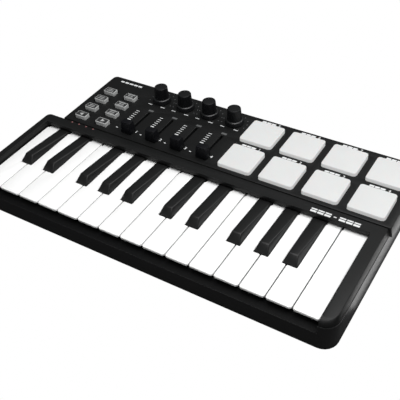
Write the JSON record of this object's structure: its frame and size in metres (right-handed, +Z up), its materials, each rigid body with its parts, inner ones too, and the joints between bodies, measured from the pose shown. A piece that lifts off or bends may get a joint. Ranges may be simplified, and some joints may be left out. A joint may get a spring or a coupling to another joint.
{
  "type": "midi keyboard",
  "caption": "Compact desktop midi keyboard with mini piano keys and a raised control panel behind them carrying square pads, faders, knobs and small buttons.",
  "frame": {"origin": "centre of the footprint's bounding box, on the surface that the foot strips stand on", "axes": "+X to the player's right along the keys, +Y away from the player towards the sockets, +Z up"},
  "size_m": [0.3228, 0.178, 0.0449],
  "materials": {
    "case_plastic": "fine matt texture",
    "lower_case_plastic": "fine matt texture",
    "white_key_plastic": "satin gloss",
    "black_key_plastic": "satin",
    "pad_silicone": "matt, translucent white",
    "button_rubber": "matt grey",
    "knob_rubber": "soft matt",
    "fader_plastic": "matt",
    "chassis_plastic": "plain moulded",
    "rod_steel": "bright drawn",
    "contact_rubber": "matt",
    "circuit_board": "solder mask",
    "socket_metal": "plated",
    "jack_plastic": "plain moulded",
    "foot_rubber": "matt"
  },
  "bodies": {
    "case": {"bottom_case": "lower_case_plastic", "keybed_frame": "case_plastic", "control_panel": "case_plastic", "front_foot_strip": "foot_rubber", "rear_foot_strip": "foot_rubber", "key_chassis": "chassis_plastic", "key_pivot_rod": "rod_steel", "contact_strip": "contact_rubber", "main_board": "circuit_board", "usb_socket": "socket_metal", "pedal_jack": "jack_plastic"},
    "knob_1": {"knob_1": "knob_rubber"},
    "fader_cap_1": {"fader_cap_1": "fader_plastic"},
    "pad_1": {"pad_1": "pad_silicone"},
    "button_1": {"button_1": "button_rubber"},
    "white_key_01": {"white_key_01": "white_key_plastic"},
    "black_key_01": {"black_key_01": "black_key_plastic"},
    "white_key_02": {"white_key_02": "white_key_plastic"},
    "white_key_03": {"white_key_03": "white_key_plastic"},
    "white_key_04": {"white_key_04": "white_key_plastic"},
    "white_key_05": {"white_key_05": "white_key_plastic"},
    "white_key_06": {"white_key_06": "white_key_plastic"},
    "white_key_07": {"white_key_07": "white_key_plastic"},
    "white_key_08": {"white_key_08": "white_key_plastic"},
    "white_key_09": {"white_key_09": "white_key_plastic"},
    "white_key_10": {"white_key_10": "white_key_plastic"},
    "white_key_11": {"white_key_11": "white_key_plastic"},
    "white_key_12": {"white_key_12": "white_key_plastic"},
    "white_key_13": {"white_key_13": "white_key_plastic"},
    "white_key_14": {"white_key_14": "white_key_plastic"},
    "white_key_15": {"white_key_15": "white_key_plastic"},
    "black_key_02": {"black_key_02": "black_key_plastic"},
    "black_key_03": {"black_key_03": "black_key_plastic"},
    "black_key_04": {"black_key_04": "black_key_plastic"},
    "black_key_05": {"black_key_05": "black_key_plastic"},
    "black_key_06": {"black_key_06": "black_key_plastic"},
    "black_key_07": {"black_key_07": "black_key_plastic"},
    "black_key_08": {"black_key_08": "black_key_plastic"},
    "black_key_09": {"black_key_09": "black_key_plastic"},
    "black_key_10": {"black_key_10": "black_key_plastic"},
    "pad_2": {"pad_2": "pad_silicone"},
    "pad_3": {"pad_3": "pad_silicone"},
    "pad_4": {"pad_4": "pad_silicone"},
    "pad_5": {"pad_5": "pad_silicone"},
    "pad_6": {"pad_6": "pad_silicone"},
    "pad_7": {"pad_7": "pad_silicone"},
    "pad_8": {"pad_8": "pad_silicone"},
    "button_2": {"button_2": "button_rubber"},
    "button_3": {"button_3": "button_rubber"},
    "button_4": {"button_4": "button_rubber"},
    "button_5": {"button_5": "button_rubber"},
    "button_6": {"button_6": "button_rubber"},
    "button_7": {"button_7": "button_rubber"},
    "button_8": {"button_8": "button_rubber"},
    "knob_2": {"knob_2": "knob_rubber"},
    "knob_3": {"knob_3": "knob_rubber"},
    "knob_4": {"knob_4": "knob_rubber"},
    "fader_cap_2": {"fader_cap_2": "fader_plastic"},
    "fader_cap_3": {"fader_cap_3": "fader_plastic"},
    "fader_cap_4": {"fader_cap_4": "fader_plastic"}
  },
  "joints": [
    {"name": "knob_1_turn", "type": "hinge", "parent": "case", "child": "knob_1", "pos_m": [-0.077, 0.07178, 0.0298], "axis": [0, 0, -1], "range_deg": [-150, 150]},
    {"name": "fader_cap_1_slide", "type": "slide", "parent": "case", "child": "fader_cap_1", "axis": [0, 1, 0], "range_m": [0, 0.03]},
    {"name": "pad_1_press", "type": "slide", "parent": "case", "child": "pad_1", "axis": [0, 0, -1], "range_m": [0, 0.0008], "stiffness_N_per_m": 800, "springref_m": -0.001},
    {"name": "button_1_press", "type": "slide", "parent": "case", "child": "button_1", "axis": [0, 0, -1], "range_m": [0, 0.001], "stiffness_N_per_m": 400, "springref_m": -0.001},
    {"name": "white_key_01_press", "type": "hinge", "parent": "case", "child": "white_key_01", "pos_m": [-0.14613, 0.00498, 0.0183], "axis": [1, 0, 0], "range_deg": [0, 2.5], "stiffness_Nm_per_rad": 0.6, "springref_deg": -2.86},
    {"name": "black_key_01_press", "type": "hinge", "parent": "case", "child": "black_key_01", "pos_m": [-0.1342, 0.00498, 0.0183], "axis": [1, 0, 0], "range_deg": [0, 2.5], "stiffness_Nm_per_rad": 0.6, "springref_deg": -2.86},
    {"name": "white_key_02_press", "type": "hinge", "parent": "case", "child": "white_key_02", "pos_m": [-0.1224, 0.00498, 0.0183], "axis": [1, 0, 0], "range_deg": [0, 2.5], "stiffness_Nm_per_rad": 0.6, "springref_deg": -2.86},
    {"name": "white_key_03_press", "type": "hinge", "parent": "case", "child": "white_key_03", "pos_m": [-0.09888, 0.00498, 0.0183], "axis": [1, 0, 0], "range_deg": [0, 2.5], "stiffness_Nm_per_rad": 0.6, "springref_deg": -2.86},
    {"name": "white_key_04_press", "type": "hinge", "parent": "case", "child": "white_key_04", "pos_m": [-0.08668, 0.00498, 0.0183], "axis": [1, 0, 0], "range_deg": [0, 2.5], "stiffness_Nm_per_rad": 0.6, "springref_deg": -2.86},
    {"name": "white_key_05_press", "type": "hinge", "parent": "case", "child": "white_key_05", "pos_m": [-0.0641, 0.00498, 0.0183], "axis": [1, 0, 0], "range_deg": [0, 2.5], "stiffness_Nm_per_rad": 0.6, "springref_deg": -2.86},
    {"name": "white_key_06_press", "type": "hinge", "parent": "case", "child": "white_key_06", "pos_m": [-0.04165, 0.00498, 0.0183], "axis": [1, 0, 0], "range_deg": [0, 2.5], "stiffness_Nm_per_rad": 0.6, "springref_deg": -2.86},
    {"name": "white_key_07_press", "type": "hinge", "parent": "case", "child": "white_key_07", "pos_m": [-0.01878, 0.00498, 0.0183], "axis": [1, 0, 0], "range_deg": [0, 2.5], "stiffness_Nm_per_rad": 0.6, "springref_deg": -2.86},
    {"name": "white_key_08_press", "type": "hinge", "parent": "case", "child": "white_key_08", "pos_m": [-0.00613, 0.00498, 0.0183], "axis": [1, 0, 0], "range_deg": [0, 2.5], "stiffness_Nm_per_rad": 0.6, "springref_deg": -2.86},
    {"name": "white_key_09_press", "type": "hinge", "parent": "case", "child": "white_key_09", "pos_m": [0.0176, 0.00498, 0.0183], "axis": [1, 0, 0], "range_deg": [0, 2.5], "stiffness_Nm_per_rad": 0.6, "springref_deg": -2.86},
    {"name": "white_key_10_press", "type": "hinge", "parent": "case", "child": "white_key_10", "pos_m": [0.04113, 0.00498, 0.0183], "axis": [1, 0, 0], "range_deg": [0, 2.5], "stiffness_Nm_per_rad": 0.6, "springref_deg": -2.86},
    {"name": "white_key_11_press", "type": "hinge", "parent": "case", "child": "white_key_11", "pos_m": [0.05332, 0.00498, 0.0183], "axis": [1, 0, 0], "range_deg": [0, 2.5], "stiffness_Nm_per_rad": 0.6, "springref_deg": -2.86},
    {"name": "white_key_12_press", "type": "hinge", "parent": "case", "child": "white_key_12", "pos_m": [0.0759, 0.00498, 0.0183], "axis": [1, 0, 0], "range_deg": [0, 2.5], "stiffness_Nm_per_rad": 0.6, "springref_deg": -2.86},
    {"name": "white_key_13_press", "type": "hinge", "parent": "case", "child": "white_key_13", "pos_m": [0.09835, 0.00498, 0.0183], "axis": [1, 0, 0], "range_deg": [0, 2.5], "stiffness_Nm_per_rad": 0.6, "springref_deg": -2.86},
    {"name": "white_key_14_press", "type": "hinge", "parent": "case", "child": "white_key_14", "pos_m": [0.12122, 0.00498, 0.0183], "axis": [1, 0, 0], "range_deg": [0, 2.5], "stiffness_Nm_per_rad": 0.6, "springref_deg": -2.86},
    {"name": "white_key_15_press", "type": "hinge", "parent": "case", "child": "white_key_15", "pos_m": [0.1374, 0.00498, 0.0183], "axis": [1, 0, 0], "range_deg": [0, 2.5], "stiffness_Nm_per_rad": 0.6, "springref_deg": -2.86},
    {"name": "black_key_02_press", "type": "hinge", "parent": "case", "child": "black_key_02", "pos_m": [-0.1106, 0.00498, 0.0183], "axis": [1, 0, 0], "range_deg": [0, 2.5], "stiffness_Nm_per_rad": 0.6, "springref_deg": -2.86},
    {"name": "black_key_03_press", "type": "hinge", "parent": "case", "child": "black_key_03", "pos_m": [-0.0753, 0.00498, 0.0183], "axis": [1, 0, 0], "range_deg": [0, 2.5], "stiffness_Nm_per_rad": 0.6, "springref_deg": -2.86},
    {"name": "black_key_04_press", "type": "hinge", "parent": "case", "child": "black_key_04", "pos_m": [-0.0529, 0.00498, 0.0183], "axis": [1, 0, 0], "range_deg": [0, 2.5], "stiffness_Nm_per_rad": 0.6, "springref_deg": -2.86},
    {"name": "black_key_05_press", "type": "hinge", "parent": "case", "child": "black_key_05", "pos_m": [-0.0304, 0.00498, 0.0183], "axis": [1, 0, 0], "range_deg": [0, 2.5], "stiffness_Nm_per_rad": 0.6, "springref_deg": -2.86},
    {"name": "black_key_06_press", "type": "hinge", "parent": "case", "child": "black_key_06", "pos_m": [0.0058, 0.00498, 0.0183], "axis": [1, 0, 0], "range_deg": [0, 2.5], "stiffness_Nm_per_rad": 0.6, "springref_deg": -2.86},
    {"name": "black_key_07_press", "type": "hinge", "parent": "case", "child": "black_key_07", "pos_m": [0.0294, 0.00498, 0.0183], "axis": [1, 0, 0], "range_deg": [0, 2.5], "stiffness_Nm_per_rad": 0.6, "springref_deg": -2.86},
    {"name": "black_key_08_press", "type": "hinge", "parent": "case", "child": "black_key_08", "pos_m": [0.0647, 0.00498, 0.0183], "axis": [1, 0, 0], "range_deg": [0, 2.5], "stiffness_Nm_per_rad": 0.6, "springref_deg": -2.86},
    {"name": "black_key_09_press", "type": "hinge", "parent": "case", "child": "black_key_09", "pos_m": [0.0871, 0.00498, 0.0183], "axis": [1, 0, 0], "range_deg": [0, 2.5], "stiffness_Nm_per_rad": 0.6, "springref_deg": -2.86},
    {"name": "black_key_10_press", "type": "hinge", "parent": "case", "child": "black_key_10", "pos_m": [0.1096, 0.00498, 0.0183], "axis": [1, 0, 0], "range_deg": [0, 2.5], "stiffness_Nm_per_rad": 0.6, "springref_deg": -2.86},
    {"name": "pad_2_press", "type": "slide", "parent": "case", "child": "pad_2", "axis": [0, 0, -1], "range_m": [0, 0.0008], "stiffness_N_per_m": 800, "springref_m": -0.001},
    {"name": "pad_3_press", "type": "slide", "parent": "case", "child": "pad_3", "axis": [0, 0, -1], "range_m": [0, 0.0008], "stiffness_N_per_m": 800, "springref_m": -0.001},
    {"name": "pad_4_press", "type": "slide", "parent": "case", "child": "pad_4", "axis": [0, 0, -1], "range_m": [0, 0.0008], "stiffness_N_per_m": 800, "springref_m": -0.001},
    {"name": "pad_5_press", "type": "slide", "parent": "case", "child": "pad_5", "axis": [0, 0, -1], "range_m": [0, 0.0008], "stiffness_N_per_m": 800, "springref_m": -0.001},
    {"name": "pad_6_press", "type": "slide", "parent": "case", "child": "pad_6", "axis": [0, 0, -1], "range_m": [0, 0.0008], "stiffness_N_per_m": 800, "springref_m": -0.001},
    {"name": "pad_7_press", "type": "slide", "parent": "case", "child": "pad_7", "axis": [0, 0, -1], "range_m": [0, 0.0008], "stiffness_N_per_m": 800, "springref_m": -0.001},
    {"name": "pad_8_press", "type": "slide", "parent": "case", "child": "pad_8", "axis": [0, 0, -1], "range_m": [0, 0.0008], "stiffness_N_per_m": 800, "springref_m": -0.001},
    {"name": "button_2_press", "type": "slide", "parent": "case", "child": "button_2", "axis": [0, 0, -1], "range_m": [0, 0.001], "stiffness_N_per_m": 400, "springref_m": -0.001},
    {"name": "button_3_press", "type": "slide", "parent": "case", "child": "button_3", "axis": [0, 0, -1], "range_m": [0, 0.001], "stiffness_N_per_m": 400, "springref_m": -0.001},
    {"name": "button_4_press", "type": "slide", "parent": "case", "child": "button_4", "axis": [0, 0, -1], "range_m": [0, 0.001], "stiffness_N_per_m": 400, "springref_m": -0.001},
    {"name": "button_5_press", "type": "slide", "parent": "case", "child": "button_5", "axis": [0, 0, -1], "range_m": [0, 0.001], "stiffness_N_per_m": 400, "springref_m": -0.001},
    {"name": "button_6_press", "type": "slide", "parent": "case", "child": "button_6", "axis": [0, 0, -1], "range_m": [0, 0.001], "stiffness_N_per_m": 400, "springref_m": -0.001},
    {"name": "button_7_press", "type": "slide", "parent": "case", "child": "button_7", "axis": [0, 0, -1], "range_m": [0, 0.001], "stiffness_N_per_m": 400, "springref_m": -0.001},
    {"name": "button_8_press", "type": "slide", "parent": "case", "child": "button_8", "axis": [0, 0, -1], "range_m": [0, 0.001], "stiffness_N_per_m": 400, "springref_m": -0.001},
    {"name": "knob_2_turn", "type": "hinge", "parent": "case", "child": "knob_2", "pos_m": [-0.052, 0.07178, 0.0298], "axis": [0, 0, -1], "range_deg": [-150, 150]},
    {"name": "knob_3_turn", "type": "hinge", "parent": "case", "child": "knob_3", "pos_m": [-0.027, 0.07178, 0.0298], "axis": [0, 0, -1], "range_deg": [-150, 150]},
    {"name": "knob_4_turn", "type": "hinge", "parent": "case", "child": "knob_4", "pos_m": [-0.002, 0.07178, 0.0298], "axis": [0, 0, -1], "range_deg": [-150, 150]},
    {"name": "fader_cap_2_slide", "type": "slide", "parent": "case", "child": "fader_cap_2", "axis": [0, 1, 0], "range_m": [0, 0.03]},
    {"name": "fader_cap_3_slide", "type": "slide", "parent": "case", "child": "fader_cap_3", "axis": [0, 1, 0], "range_m": [0, 0.03]},
    {"name": "fader_cap_4_slide", "type": "slide", "parent": "case", "child": "fader_cap_4", "axis": [0, 1, 0], "range_m": [0, 0.03]}
  ]
}
